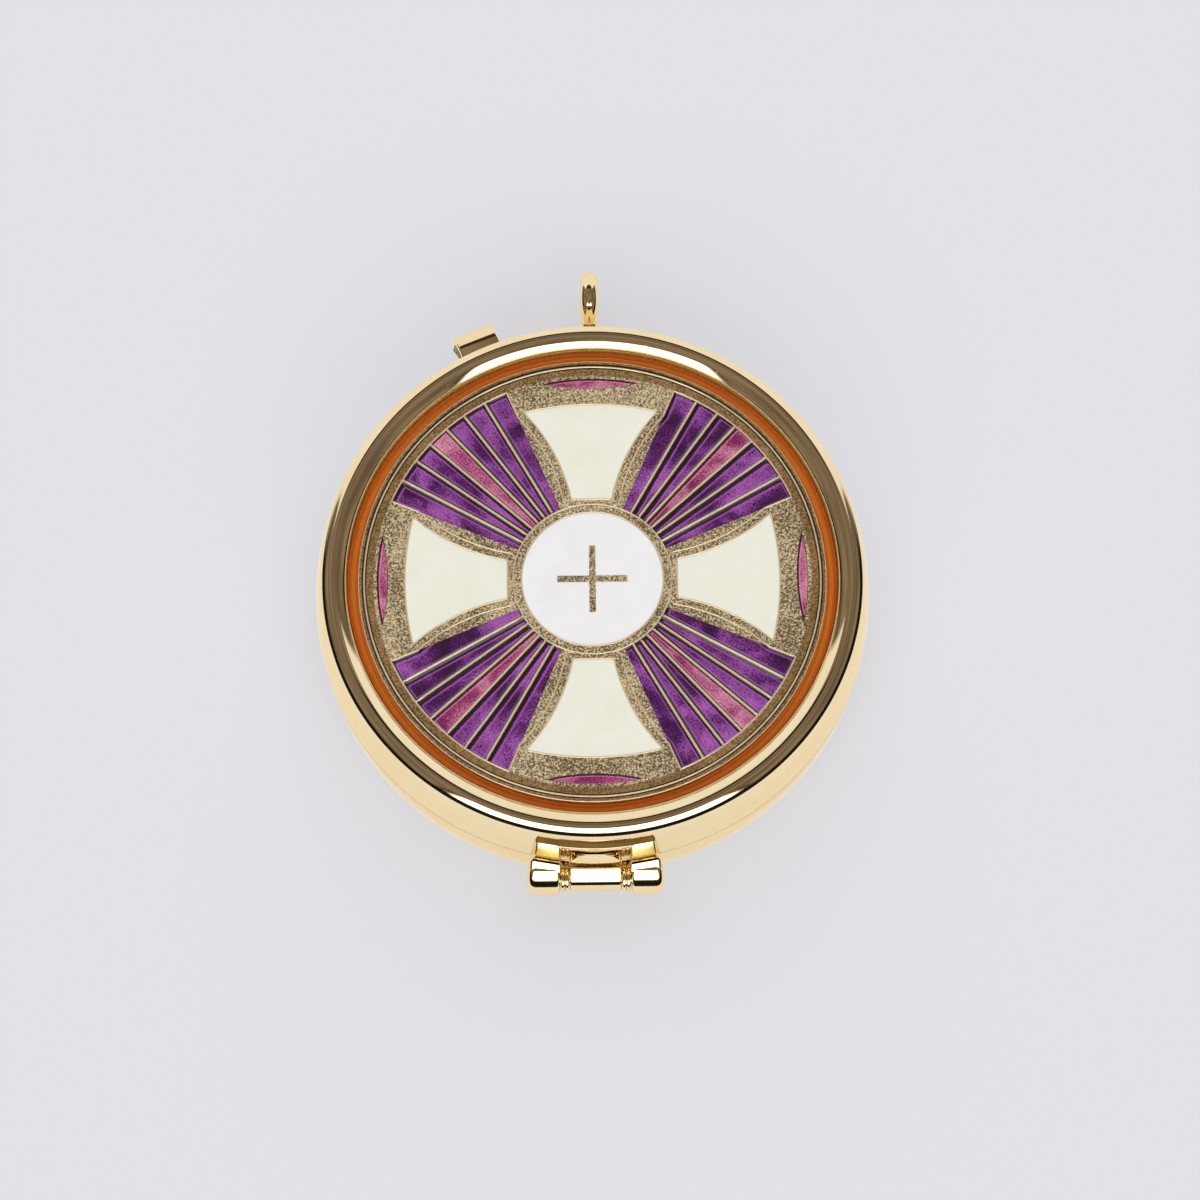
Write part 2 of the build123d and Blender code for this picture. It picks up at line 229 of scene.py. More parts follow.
# %% [markdown]
# ## Curves, surfaces and pieces
# Almost everything on a spun case is a section carried round an axis, and almost everything on its hinge is a section
# carried along one. So the sections are worked out first, as arrays of points in millimetres, and two short functions
# turn them into surfaces. Every corner gets a small round, because it is the rounds that catch the light.

# %% Sections
MM, round_steps = 0.001, 288


def heading(angle):
    """Directions at angles in degrees: their cosines and sines."""
    return np.stack([np.cos(np.radians(angle)), np.sin(np.radians(angle))], -1)


def arc(centre, radius, start, end, steps=12):
    """Points on an arc: the centre plus the radius times the directions at angles spread from start to end."""
    return np.array(centre) + radius * heading(np.linspace(start, end, steps + 1))


def turned_flat(flat, angle):
    """Turns flat points round the case's axis."""
    along = heading(angle)
    return flat[..., :1] * along + flat[..., 1:] * [-along[1], along[0]]


def short_arc(centre, radius, first, last, steps):
    """The shorter arc round a centre from one point's direction to another's."""
    start, end = [np.degrees(np.arctan2(*np.subtract(spot, centre)[::-1])) for spot in (first, last)]
    return arc(centre, radius, start, start + (end - start + 180) % 360 - 180, steps)


def softened(corners, closed=False, steps=5):
    """Straight runs between corners given as (across, up, round), or (across, up) for a sharp one. Each round is an
    arc that touches both runs.

    Such an arc starts at the round over the tangent of half the corner's angle, and its centre lies on the corner's
    bisector, at the round over the sine of that half angle.
    """
    corners = np.array([(*corner, 0)[:3] for corner in corners], float)
    spots, rounds = corners[:, :2], corners[:, 2]
    line = []
    for index, (spot, size) in enumerate(zip(spots, rounds)):
        if size == 0 or (not closed and index in (0, len(spots) - 1)):
            line.append(spot[None])
            continue
        back = spots[index - 1] - spot
        ahead = spots[(index + 1) % len(spots)] - spot
        back, ahead = back / np.linalg.norm(back), ahead / np.linalg.norm(ahead)
        half_angle = np.arccos(np.clip(back @ ahead, -1, 1)) / 2
        bisector = (back + ahead) / np.linalg.norm(back + ahead)
        reach = size / np.tan(half_angle)
        line.append(short_arc(
            spot + bisector * size / np.sin(half_angle), size, spot + back * reach, spot + ahead * reach, steps))
    return np.vstack(line)


# %% Surfaces
def surface(grid, wrap_rows=False, wrap_columns=False, cap_ends=False):
    """A grid of points, rows by columns, as a surface: its points, the quads between neighbours, and end caps."""
    rows, columns = grid.shape[:2]
    index = np.arange(rows * columns).reshape(rows, columns)
    caps = [index[0][::-1].tolist(), index[-1].tolist()] if cap_ends else []
    if wrap_rows:
        index = np.vstack([index, index[:1]])
    if wrap_columns:
        index = np.hstack([index, index[:, :1]])
    quads = np.stack([index[:-1, :-1], index[1:, :-1], index[1:, 1:], index[:-1, 1:]], -1).reshape(-1, 4)
    return grid.reshape(-1, 3), quads, caps


def bar(grid):
    """A closed section carried along a line, with its two ends shut."""
    return surface(grid, wrap_columns=True, cap_ends=True)


def turned(profile, axis="Z", centre=(0, 0, 0), segments=round_steps, closed=False):
    """A profile of (radius, height) carried round an axis: across is the radius times the cosine and sine of the
    angle, and along is the height. A closed profile makes a ring, and an open one starts and ends on the axis."""
    angle = np.linspace(0, 2 * np.pi, segments, endpoint=False)
    radius, height = profile.T
    grid = np.stack([
        np.outer(np.cos(angle), radius), np.outer(np.sin(angle), radius),
        np.broadcast_to(height, (segments, len(height)))], -1)
    order = {"Z": [0, 1, 2], "X": [2, 0, 1], "Y": [1, 2, 0]}[axis]
    return surface(grid[..., order] + np.array(centre), wrap_rows=True, wrap_columns=closed)


def drawn(section, start, end, edge, steps=4):
    """A closed section of (y, z) carried along X, as a grid of points, with rounded ends.

    Towards an end the section shrinks along its own normals by the edge times one minus the sine of an angle, while
    it advances by the edge times one minus the cosine, so the edge is a quarter circle.
    """
    along = np.roll(section, -1, 0) - np.roll(section, 1, 0)
    normal = np.column_stack([along[:, 1], -along[:, 0]]) / np.linalg.norm(along, axis=1)[:, None]
    y, z = section.T
    normal *= np.sign(np.sum(y * np.roll(z, -1) - z * np.roll(y, -1)))
    angle = np.linspace(0, np.pi / 2, steps + 1)
    inset, advance = edge * (1 - np.sin(angle)), edge * (1 - np.cos(angle))
    place = np.concatenate([start + advance, (end - advance)[::-1]])
    inset = np.concatenate([inset, inset[::-1]])
    points = section[None] - normal[None] * inset[:, None, None]
    return np.concatenate([np.broadcast_to(place[:, None, None], points.shape[:2] + (1,)), points], -1)


# %% Pieces
def make_piece(name, parts, material, body, stands_for=(), crease=32, values=None):
    """Joins surfaces in millimetres into one mesh in metres, welds poles and seams, and points its faces outward.

    values holds one array of numbers for each named attribute, a number for each point.
    """
    points, faces, count = [], [], 0
    for spots, quads, caps in parts:
        points.append(spots)
        faces += (quads + count).tolist() + [[corner + count for corner in cap] for cap in caps]
        count += len(spots)
    mesh = bpy.data.meshes.new(name)
    mesh.from_pydata((np.concatenate(points) * MM).tolist(), [], faces)
    for key, numbers in (values or {}).items():
        mesh.attributes.new(key, "FLOAT", "POINT").data.foreach_set("value", np.asarray(numbers, np.float32))
    shape = bmesh.new()
    shape.from_mesh(mesh)
    bmesh.ops.remove_doubles(shape, verts=shape.verts, dist=1e-7)
    bmesh.ops.recalc_face_normals(shape, faces=shape.faces)
    shape.to_mesh(mesh)
    shape.free()
    mesh.shade_smooth()
    mesh.set_sharp_from_angle(angle=radians(crease))
    mesh.materials.append(material)
    piece = bpy.data.objects.new(name, mesh)
    bpy.context.scene.collection.objects.link(piece)
    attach(piece, body)
    if stands_for:
        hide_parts(*stands_for)
    print(f"{name}: {len(mesh.vertices)} points, {len(mesh.polygons)} faces, rides on {body}")


# %% [markdown]
# ## Gold
# The case is brass, spun, polished and gold plated. The colour lives in what it reflects, so the base colour is set
# once and roughness stays low. Two things keep it from looking like a flat chrome: faint rings left by the lathe,
# which are noise read by radius and height only, and slow patches where the polish is a little duller.

# %% Plated gold
worn, plate_tint = (0.985, 0.965, 0.92), (1.0, 0.90, 0.70)


def gilt(name, colour, roughness, rings=0.0, ring_pitch=0.00008, mottle=0.35, deep=None, metal=1.0):
    """Plated gold with lathe rings. Where deep gives two tones, the attribute leads through them, from 0 for clean gold
    by
    way of 0.5 to 1: painted reflection, the yellow and then orange of light bounced between gold faces, shown with the
    lathe's rings as darker and paler lines, more roughness and less metal."""
    material, place = blank_material(name)
    x, y, z = node("SeparateXYZ", Vector=place).outputs
    ring_place = node("CombineXYZ", X=from_axis(x, y), Y=z)
    lathe = noise(ring_place, 1 / ring_pitch, 2.0, {"noise_dimensions": "2D"})
    cloud, specks = noise(place, 260.0, 3.0), noise(place, 4200.0, 2.0)
    dull = maths("MULTIPLY_ADD", cloud, roughness * mottle * 2, roughness * (1 - mottle))
    dull = maths("MULTIPLY_ADD", smooth_step(specks, 0.66, 0.74), 0.12, dull)
    shade = mixed(smooth_step(cloud, 0.35, 0.65), colour, np.multiply(colour, worn))
    if deep:
        painted_reflection = node("Attribute", {"attribute_name": "painted_reflection"}).outputs["Fac"]
        for start, tone in zip((0.0, 0.5), deep):
            shade = mixed(smooth_step(painted_reflection, start, start + 0.5), shade, tone)
        streaked = node("VectorMath", {"operation": "SCALE"}, _0=shade, Scale=times(lathe, 1.9))
        shade = mixed(times(painted_reflection, 0.8), shade, streaked)
        dull = maths("MULTIPLY_ADD", painted_reflection, 0.25, dull)
        metal = maths("MULTIPLY_ADD", smooth_step(painted_reflection, 0.4, 1.0), -0.6, 1.0)
    bump = node("Bump", Strength=rings, Distance=0.000002, Height=lathe)
    ends_in(Base_Color=shade, Metallic=metal, Roughness=dull, Normal=bump, Specular_Tint=plate_tint)
    return material


bright_gold, inside_gold, fittings_gold = (0.93, 0.77, 0.49), (0.93, 0.74, 0.43), (0.93, 0.76, 0.46)
# Painted reflection: the yellow and orange of gold seen in gold, for the pan's groove and the hinge's roofs.
pan_painted_reflection, roof_painted_reflection = ((0.93, 0.60, 0.17), (0.90, 0.245, 0.03)), ((0.95, 0.66, 0.20), (0.95, 0.58, 0.11))
case_gilt = gilt("gilt_case", bright_gold, 0.07, rings=0.25, deep=pan_painted_reflection)
inside_gilt = gilt("gilt_inside", inside_gold, 0.16, rings=0.6, ring_pitch=0.00012)
fittings_gilt = gilt("gilt_fittings", fittings_gold, 0.07, rings=0.03, deep=roof_painted_reflection)


def fitting(name, parts, body, node_name, values=None):
    """A piece in the gold of the fittings."""
    make_piece(name, parts, fittings_gilt, body, [node_name], values=values)


print("gold materials: 3")

# %% [markdown]
# ## The two shells
# Both shells are spun from sheet. Their walls bulge a little: each is an arc that stands upright at the parting line
# and runs smoothly into the round of the foot or into the bead. The two circles touch from inside, so their centres
# lie the difference of their radii apart, and that fixes the wall's radius.

# %% Sizes of the case in millimetres
case_radius, case_height = 27.0, 13.0
parting_gap, wall, floor_thickness = 0.1, 0.7, 0.9
foot_inset, foot_round, cavity_bevel = 0.5, 1.4, 0.7
bead_radius, bead_inset = 1.45, 0.53  # the CAD's inset is 0.4
pan_depth, pan_bevel = 2.1, 0.4
axis_z = case_height / 2
base_height, skirt_bottom = axis_z - parting_gap / 2, axis_z + parting_gap / 2
foot_centre = (case_radius - foot_inset - foot_round, foot_round)
bead_centre = (case_radius - bead_inset - bead_radius, case_height - bead_radius)
pan_floor = case_height - pan_depth
collar_radius = case_radius - wall - 0.2


def wall_arc(centre, small_radius, parting):
    """The wall's centre and radius, and the angle where it meets the small round."""
    inset = case_radius - centre[0] - small_radius
    across, rise = case_radius - centre[0], centre[1] - parting
    radius = (rise**2 + across**2 - small_radius**2) / (2 * inset)
    return (case_radius - radius, parting), radius, degrees(atan2(rise, centre[0] - case_radius + radius))


lid_wall, base_wall = wall_arc(bead_centre, bead_radius, skirt_bottom), wall_arc(foot_centre, foot_round, base_height)


def wall_radius(height, shell):
    """The outside radius at a height: the arc's centre plus the root of its radius squared less the rise squared."""
    (middle, level), radius, _ = shell
    return middle + np.sqrt(radius**2 - (height - level) ** 2)


print("wall arcs, radius in mm:", round(lid_wall[1], 1), round(base_wall[1], 1))

# %% Base cup
edge = 0.08
middle, radius, meet = base_wall
cup_outside = np.vstack([[(0, 0)], arc(foot_centre, foot_round, -90, meet, 14), arc(middle, radius, meet, 0.6, 20)])
cup_inside = softened([
    (case_radius, base_height - 0.1), (case_radius, base_height, edge), (collar_radius, base_height, edge),
    (collar_radius, floor_thickness, cavity_bevel), (0, floor_thickness)])
make_piece("cup", [turned(np.vstack([cup_outside, cup_inside[1:]]))], case_gilt, "base", ["base_cup"])

# %% Collar
collar_bottom, collar_top = floor_thickness + cavity_bevel, base_height + 1.4
collar_section = softened(
    [(collar_radius, collar_bottom), (collar_radius, collar_top, 0.25), (collar_radius - 0.6, collar_top, 0.12),
    (collar_radius - 0.6, collar_bottom)], True)
make_piece("collar", [turned(collar_section, closed=True)], inside_gilt, "base", ["base_collar"])

# %% [markdown]
# The bead looks half round, but the light on it tells more: its band of brown is narrow on the near side, so the
# crest is tighter than the rest, and a gentle slope leads from it into the pan. So it is a chain of four arcs, each
# starting where the last one stopped and facing the same way, which keeps the reflections flowing.

# %% Lid shell
middle, radius, meet = lid_wall
crest = [(64, 1.45), (104, 0.93), (128, 2.4), (180, 1.43)]  # where each arc of the bead ends, and its radius
bead, start = [np.array(bead_centre) + bead_radius * heading(meet)], meet
for finish, size in crest:
    bead += list(arc(bead[-1] - size * heading(start), size, start, finish, 14)[1:])
    start = finish
lid_outside = np.vstack([
    [(case_radius - edge, skirt_bottom), (case_radius - edge * 0.3, skirt_bottom + edge * 0.3)],
    arc(middle, radius, 0.7, meet, 20), bead[1:]])
pan_wall, pan_under, hollow_half = bead[-1][0], pan_floor - wall, (bead_radius - wall) / 2
pan = softened([(pan_wall, bead[-1][1]), (pan_wall, pan_floor, pan_bevel), (0, pan_floor)], steps=8)
lid_under = softened([
    (0, pan_under), (pan_wall + wall, pan_under, 0.5), (pan_wall + wall, bead_centre[1]),
    (bead_centre[0] - hollow_half, case_height - wall, 0.2), (bead_centre[0] + hollow_half, case_height - wall, 0.2),
    (26.0, 11.2, 0.3), (case_radius - wall, skirt_bottom + 2), (case_radius - wall, skirt_bottom, 0.1),
    (case_radius - edge, skirt_bottom)])
lid_profile = np.vstack([lid_outside, pan[1:], lid_under[:-1]])
# Painted reflection in the pan's groove: yellow and orange of gold seen in gold, strongest low down, none above the
# ridge, on the outer bead or on the underside.
painted_reflection_heights, painted_reflection_levels, painted_reflection_radius = (11.0, 11.3, 12.3, 12.5), (1, 0.64, 0.45, 0), 24.7
on_top = np.arange(len(lid_profile)) < len(lid_profile) - len(lid_under) + 1
lid_painted_reflection = np.interp(lid_profile[:, 1], painted_reflection_heights, painted_reflection_levels)
lid_painted_reflection *= on_top * (lid_profile[:, 0] < painted_reflection_radius)
make_piece(
    "lid_shell_spun", [turned(lid_profile, closed=True)], case_gilt, "lid", ["lid_shell"],
    values={"painted_reflection": np.tile(lid_painted_reflection, round_steps)})

# %% [markdown]
# ## The hinge
# Five lengths of barrel share one pin. The outer two belong to the lid, the centre one to the base, and a grooved
# washer fills each space between. Each lug is a section drawn along the hinge. Its inner side follows the wall, the
# way that a fitting is filed before it is soldered on, and a small hollow joins it to the barrel.

# %% Sizes of the hinge
barrel_radius, barrel_gap = 1.5, 0.25
centre_half, lug_start, barrel_half = 2.5, 3.45, 6.6
axis_y = -(case_radius + barrel_gap + barrel_radius)
leaf_height = axis_z - 2.0
leaf_top, leaf_foot = axis_z + leaf_height, axis_z - leaf_height
leaf_edge_y, root_y, bridge_y = -(case_radius + 0.25), -(case_radius + 0.85), -(case_radius + 0.4)
inner_y, seat, bite, fitting_radius = -25.6, 26.2, 0.35, 26.8
lowest_seat, highest_seat, pin_radius, running_fit = 1.6, 11.4, 0.6, 0.05
bore = pin_radius + running_fit
front_offset, front_radius = np.array([1.547, 0.832]), 3.0
reach_angles, reach_limits = (0.49, 0.5, 1.45, 1.7, 2.2, 2.6), (1.5, 1.75, 1.75, 2.0, 2.0, 1.7)


def knuckle(start, end, start_round, end_round):
    """A length of barrel, flatter in front than a cylinder.

    A ring section is turned round the hinge's axis, and each point is moved along its own radius. The front follows a
    larger circle whose centre lies nearer the case: the distance to it, along a direction, is minus the part of the
    offset in that direction, plus the root of that part squared, less the offset squared, plus the circle's radius
    squared.
    """
    section = softened(
        [(bore, start), (barrel_radius, start, start_round), (barrel_radius, end, end_round), (bore, end)], True, 7)
    spots, quads, caps = turned(section, "X", segments=96, closed=True)
    radius, angle = np.hypot(spots[:, 1], spots[:, 2]), np.arctan2(spots[:, 2], -spots[:, 1])
    part = front_offset[0] * np.cos(angle) + front_offset[1] * np.sin(angle)
    reach = -part + np.sqrt(part**2 - front_offset @ front_offset + front_radius**2)
    reach = np.minimum(reach, np.interp(angle, reach_angles, reach_limits))
    spots[:, 1:] *= ((bore + (radius - bore) * (reach - bore) / (barrel_radius - bore)) / radius)[:, None]
    return spots + np.array([0, axis_y, axis_z]), quads, caps


def against_wall(grid, shell, outward=-1, within=seat):
    """Moves a fitting's inner side to just inside the wall: y is the root of radius squared less x squared."""
    radius = wall_radius(np.clip(grid[..., 2], lowest_seat, highest_seat), shell) - bite
    reach = np.sqrt(radius**2 - grid[..., 0] ** 2)
    grid[..., 1] = np.where(outward * grid[..., 1] < within, outward * reach, grid[..., 1])
    return grid


def round_the_case(grid, low, high):
    """Bends a fitting round the case: y moves back by the wall's own fall, the radius less the root of radius
    squared less x squared, fading out from the high level down to the low one."""
    fall = fitting_radius - np.sqrt(fitting_radius**2 - grid[..., 0] ** 2)
    grid[..., 1] += fall * np.clip((grid[..., 2] - low) / (high - low), 0, 1)
    return grid


# %% Lid's leaf
# Section of a lug: a sloping roof, a steep face in steps, a hollow, and a run into the top of the knuckle.
lug_section = softened([
    (inner_y, axis_z + 0.08), (inner_y, leaf_top - 0.12), (-27.0, leaf_top + 0.05, 0.1),
    (-28.0, leaf_top - 0.9, 0.15), (-28.04, 8.98, 0.1), (-28.24, 8.74, 0.1), (-28.52, 8.53), (-28.7, 8.3),
    (-28.7, 7.4), (-27.75, axis_z + 0.08)], True, 8)
arch_low, arch_half, arch_rise, arch_steps = 8.4, 2.3, 1.0, 61
lip_low, lip_lean, lip_foot = 8.05, 0.43, -27.75


def lid_lug(side):
    """An outer lug, narrower at its far edge than at the barrel."""
    end = barrel_half - 0.32
    grid = drawn(lug_section, lug_start - 0.15, end, 0.28, 6)
    taper = 0.6 * np.clip((grid[..., 2] - 8.4) / 2.6, 0, 1)
    grid[..., 0] -= taper * (grid[..., 0] - lug_start) / (end - lug_start)
    grid = against_wall(round_the_case(grid, 8.1, 8.5), lid_wall)
    grid[..., 0] *= side
    return bar(grid)


def arch_line(across):
    """Height of the arch between the lugs. Its radius is half width squared plus rise squared, over twice the rise."""
    arch = (arch_half**2 + arch_rise**2) / (2 * arch_rise)
    return arch_low + arch_rise - arch + np.sqrt(np.clip(arch**2 - across**2, (arch - arch_rise) ** 2, None))


def between_lugs(across, y, z):
    """A closed section for each place across, bent round the case, as a solid plate."""
    y, z = np.broadcast_arrays(y, z)
    grid = np.stack([np.broadcast_to(across[:, None], z.shape), y, z], -1)
    return bar(against_wall(round_the_case(grid, 7.0, 7.1), lid_wall))


def bridge():
    """The thin plate between the lugs, whose lower edge follows the arch."""
    section = softened(
        [(inner_y, arch_low), (inner_y, leaf_top - 0.12), (-27.08, leaf_top + 0.05, 0.1),
        (-27.2, leaf_top - 0.35, 0.12), (-27.08, leaf_top - 0.9, 0.3), (-27.18, arch_low + 0.08, 0.05),
        (-27.1, arch_low, 0.03)], True)
    across = np.linspace(-lug_start - 0.2, lug_start + 0.2, arch_steps)
    lower = arch_line(across)[:, None]
    share = (section[:, 1] - arch_low) / (leaf_top - arch_low)
    return between_lugs(across, section[None, :, 0], lower + share * (leaf_top - lower))


def lip():
    """The sloping lip under the arch. Its foot is straight, and its top lies in from the foot by its height times a
    fixed slope, so it leans by one angle everywhere and catches the pale table."""
    section = softened([(0, 0), (0, 1), (1, 1, 0.04), (2, 0.04, 0.03), (1.9, 0)], True)
    across = np.linspace(-2.5, 2.5, arch_steps)
    tall = (arch_line(across) + 0.06 - lip_low)[:, None]
    out, share = section[None, :, 0], section[None, :, 1]
    brink = lip_foot + lip_lean * tall
    reach = np.where(out < 1, inner_y + out * (brink - inner_y), brink - (out - 1) * lip_lean * tall)
    return between_lugs(across, reach, lip_low + share * tall)


def rib(x):
    """A thin upright rod beside the bridge, turned round its own axis."""
    return turned(
        softened([(0, 8.35), (0.17, 8.35, 0.14), (0.17, 10.9, 0.14), (0, 10.9)]), "Z",
        (x, -np.sqrt(27.15**2 - x**2), 0), 24)


leaf_parts = [
    lid_lug(1), lid_lug(-1), bridge(), lip(), knuckle(lug_start, barrel_half, 0.3, 0.85),
    knuckle(-barrel_half, -lug_start, 0.85, 0.3)] + [rib(x) for x in (-3.07, -2.7, 2.7, 3.07)]
leaf_spots = np.concatenate([spots for spots, _, _ in leaf_parts])
# Painted reflection on the lugs' roofs: the yellow of light bounced between the hinge's gold faces, set by height.
roof_heights, roof_painted_levels = (8.8, 9.4, 10.4, 10.7, 10.9), (0.0, 0.6, 1.0, 0.5, 0.0)
roof = 0.8 * (np.abs(leaf_spots[:, 0]) > lug_start - 0.2) * np.interp(leaf_spots[:, 2], roof_heights, roof_painted_levels)
fitting("lid_leaf", leaf_parts, "lid", "lid_hinge_leaf", {"painted_reflection": roof})

# %% Base's leaf
plate_high = axis_z - barrel_radius - 0.3
plate_section = softened(
    [(inner_y, leaf_foot), (leaf_edge_y, leaf_foot, 0.3), (bridge_y, plate_high, 0.15), (inner_y, plate_high)], True)
lug_under = softened(
    [(inner_y, axis_z - 0.08), (inner_y, leaf_foot), (leaf_edge_y, leaf_foot, 0.4), (root_y, 5.3, 0.5), (-28.6, 5.02),
    (-28.6, 6.0), (-27.75, axis_z - 0.08)], True, 8)
centre_section = softened(
    [(-28.06, 8.06, 0.14), (-29.75, 6.97, 1.6), (-29.75, 5.0, 0.9), (-28.0, 5.0, 0.6), (-27.35, 6.5, 0.3)], True, 10)
fitting(
    "base_leaf", [bar(against_wall(drawn(plate_section, -5.85, 5.85, 0.14), base_wall)),
    bar(against_wall(drawn(lug_under, -centre_half, centre_half, 0.1), base_wall)),
    bar(drawn(centre_section, -centre_half, centre_half, 0.2))], "base", "base_hinge_leaf")

# %% Pin and washers
on_axis, pin_end = (0, axis_y, axis_z), barrel_half - 0.1
pin_section = softened([(0, -pin_end), (pin_radius, -pin_end, 0.2), (pin_radius, pin_end, 0.2), (0, pin_end)])
fitting("pin", [turned(pin_section, "X", on_axis, 64)], "base", "hinge_pin")
washer_bore, crown, groove_floor = 0.61, 1.27, 0.95
start, end = centre_half + 0.02, lug_start - 0.07
middle = (start + end) / 2
washer_section = softened([
    (washer_bore, start), (crown, start, 0.2), (crown, middle - 0.03, 0.18), (groove_floor, middle, 0.02),
    (crown, middle + 0.03, 0.18), (crown, end, 0.2), (washer_bore, end)], True)
for side, word in ((-1, "left"), (1, "right")):
    washer = turned(washer_section * [1, side], "X", on_axis, 72, closed=True)
    fitting(f"washer_{word}", [washer], "base", f"hinge_washer_{word}")

# %% [markdown]
# ## The hanging ring
# A closed ring of round wire, brazed to a short post with a flange, for the cord that the case hangs by. The ring is
# a circle carried round a circle. The post is turned, and flares where the brazing ran in against flange and ring.

# %% Ring and post
ring_radius, wire_radius, post_radius, flange_radius = 2.05, 0.92, 0.8, 1.5
ring_centre = (0, case_radius + 5.35, base_height - 2.25)
ring_section = arc((ring_radius, 0), wire_radius, 0, 360, 40)[:-1]
fitting("ring", [turned(ring_section, "X", ring_centre, 128, closed=True)], "base", "hanging_ring")
post_end = ring_centre[1] - ring_radius
post_section = softened(
    [(0, 26.4), (flange_radius, 26.4), (flange_radius, 27.5, 0.16), (post_radius, 27.5, 0.22),
    (post_radius, post_end - 0.75, 0.5), (0.88, post_end), (0, post_end)], steps=6)
fitting("post", [turned(post_section, "Y", (0, 0, ring_centre[2]), 72)], "base", "ring_foot")

# %% [markdown]
# ## The thumb catch
# A strip of sheet is soldered to the lid's skirt, bent over and down. A dimple pressed in the hook snaps under a half
# round stud on the base. The section is drawn across the strip's width and then turned to its place on the rim.

# %% Catch and stud
catch_angle, catch_width, catch_top = 113.0, 4.1, axis_z + 2.7
catch_sheet, leg_end, dimple_size, play = 0.8, 26.0, 0.55, 0.12
catch_outer, catch_bottom = case_radius + 3.2, axis_z - 1.7
catch_inner, under = catch_outer - catch_sheet, catch_top - catch_sheet
leg_low, leg_out = catch_top - 2.0, case_radius + 0.8


def on_rim(section, width, edge, steps, shell):
    """A section in (radius, z) drawn across a width, set against the wall, and turned to its place on the rim."""
    grid = against_wall(drawn(section, -width / 2, width / 2, edge, steps), shell, 1, fitting_radius)
    return bar(np.concatenate([turned_flat(grid[..., 1::-1], catch_angle), grid[..., 2:]], -1))


catch_section = np.vstack([
    softened([(leg_end, leg_low), (leg_end, catch_top), (catch_outer, catch_top, 2.1),
              (catch_outer, catch_bottom, 0.16), (catch_inner, catch_bottom)], steps=14),
    arc((catch_inner, catch_bottom + 0.6), dimple_size, -90, -270, 10),
    softened([(catch_inner, catch_bottom + 1.2), (catch_inner, under, 1.3), (leg_out, under, 0.25),
              (leg_out, leg_low, 0.12), (leg_end, leg_low)], steps=8)[1:-1]])
fitting("catch", [on_rim(catch_section, catch_width, 0.2, 6, lid_wall)], "lid", "thumb_catch")

stud_radius, stud_width, stud_height = 0.5, 2.4, axis_z - 0.85
stud_centre = catch_inner - dimple_size - play - stud_radius
stud_section = np.vstack([
    arc((stud_centre, stud_height), stud_radius, -90, 90, 12),
    [(leg_end, stud_height + stud_radius), (leg_end, stud_height - stud_radius)]])
fitting("stud", [on_rim(stud_section, stud_width, 0.1, 4, base_wall)], "base", "catch_stud")

# %% [markdown]
# ## The medallion
# The plate is struck: a stippled ground of dull gold, sunk cells for the enamel, and a bright line where the polishing
# wheel touched each raised edge. The plate itself is a plain solid with flat faces, so the CAD's own mesh stays and
# gets the stippled finish. What the eye looks for is added to it: wires of light along the edges, and enamel that
# creeps up the walls of its cell and sinks in the middle.

# %% Sizes of the medallion
plate_radius = case_radius - 4.4
ground = pan_floor + 0.9
field_radius = plate_radius - 1.45
cell_floor = ground - 0.5
disc_radius, disc_outer, quarters = 6.9, 7.7, (0, 90, 180, 270)
arm_root, sliver_outer = disc_outer + 0.5, field_radius - 0.25
arm_end = sliver_outer - 1.1 - 1.6
arm_start_half, arm_end_half, frame_width = 2.0, 6.6, 0.75
arm_corner = (arm_end_half, arm_end - 0.8)
arm_waist = ((arm_start_half + arm_end_half) / 2 - 0.8, (arm_root + arm_corner[1]) / 2)
ray_width, ray_angles = 0.25, (3.0, 9.0, 15.5)
arm_spread = degrees(atan2(arm_end_half + frame_width, arm_corner[1]))


def circle_through(first, second, third):
    """Centre and radius of the circle through three points, from the two lines that cut their chords in half."""
    points = np.array([first, second, third], float)
    rows = 2 * (points[1:] - points[0])
    centre = np.linalg.solve(rows, (points[1:] ** 2).sum(1) - (points[0] ** 2).sum())
    return centre, np.linalg.norm(points[0] - centre)


side_centre, side_radius = circle_through((arm_start_half, arm_root), arm_waist, arm_corner)
end_centre, end_radius = circle_through((-arm_end_half, arm_corner[1]), (0, arm_end), arm_corner)
print("arm's side radius in mm:", round(side_radius, 2), "end radius:", round(end_radius, 2))

# %% [markdown]
# ### Enamel
# Each cell of enamel is a grid that fits its outline. Every point knows its distance from the nearest edge, which
# shapes the surface: it hangs from the edges and swells a little in the middle. Clear enamel also looks dark in a band
# beside a wall, a wide one where the wall stands to the left or the top and keeps the light out, and a thin one on the
# other sides; that band is painted shade. So the material gets a second number, the distance over the band's width
# there.

# %% Enamel surfaces
def enamel_height(distance, dip, slope, swell, middle):
    """Height above the cell's top: it falls by the dip within the slope's width and rises again to the middle."""
    fall = np.clip(distance / slope, 0, 1)
    rise = np.clip((distance - slope) / np.maximum(middle - slope, 1e-6), 0, 1)
    return -0.02 - dip * (1 - (1 - fall) ** 2) + swell * (1 - (1 - rise) ** 2)


def band(wall_angle):
    """Width of the painted dark band beside a wall that stands in some direction: a mean plus a cosine towards 140
    degrees.
    """
    return 0.25 + 0.17 * np.cos(np.radians(wall_angle - 140))


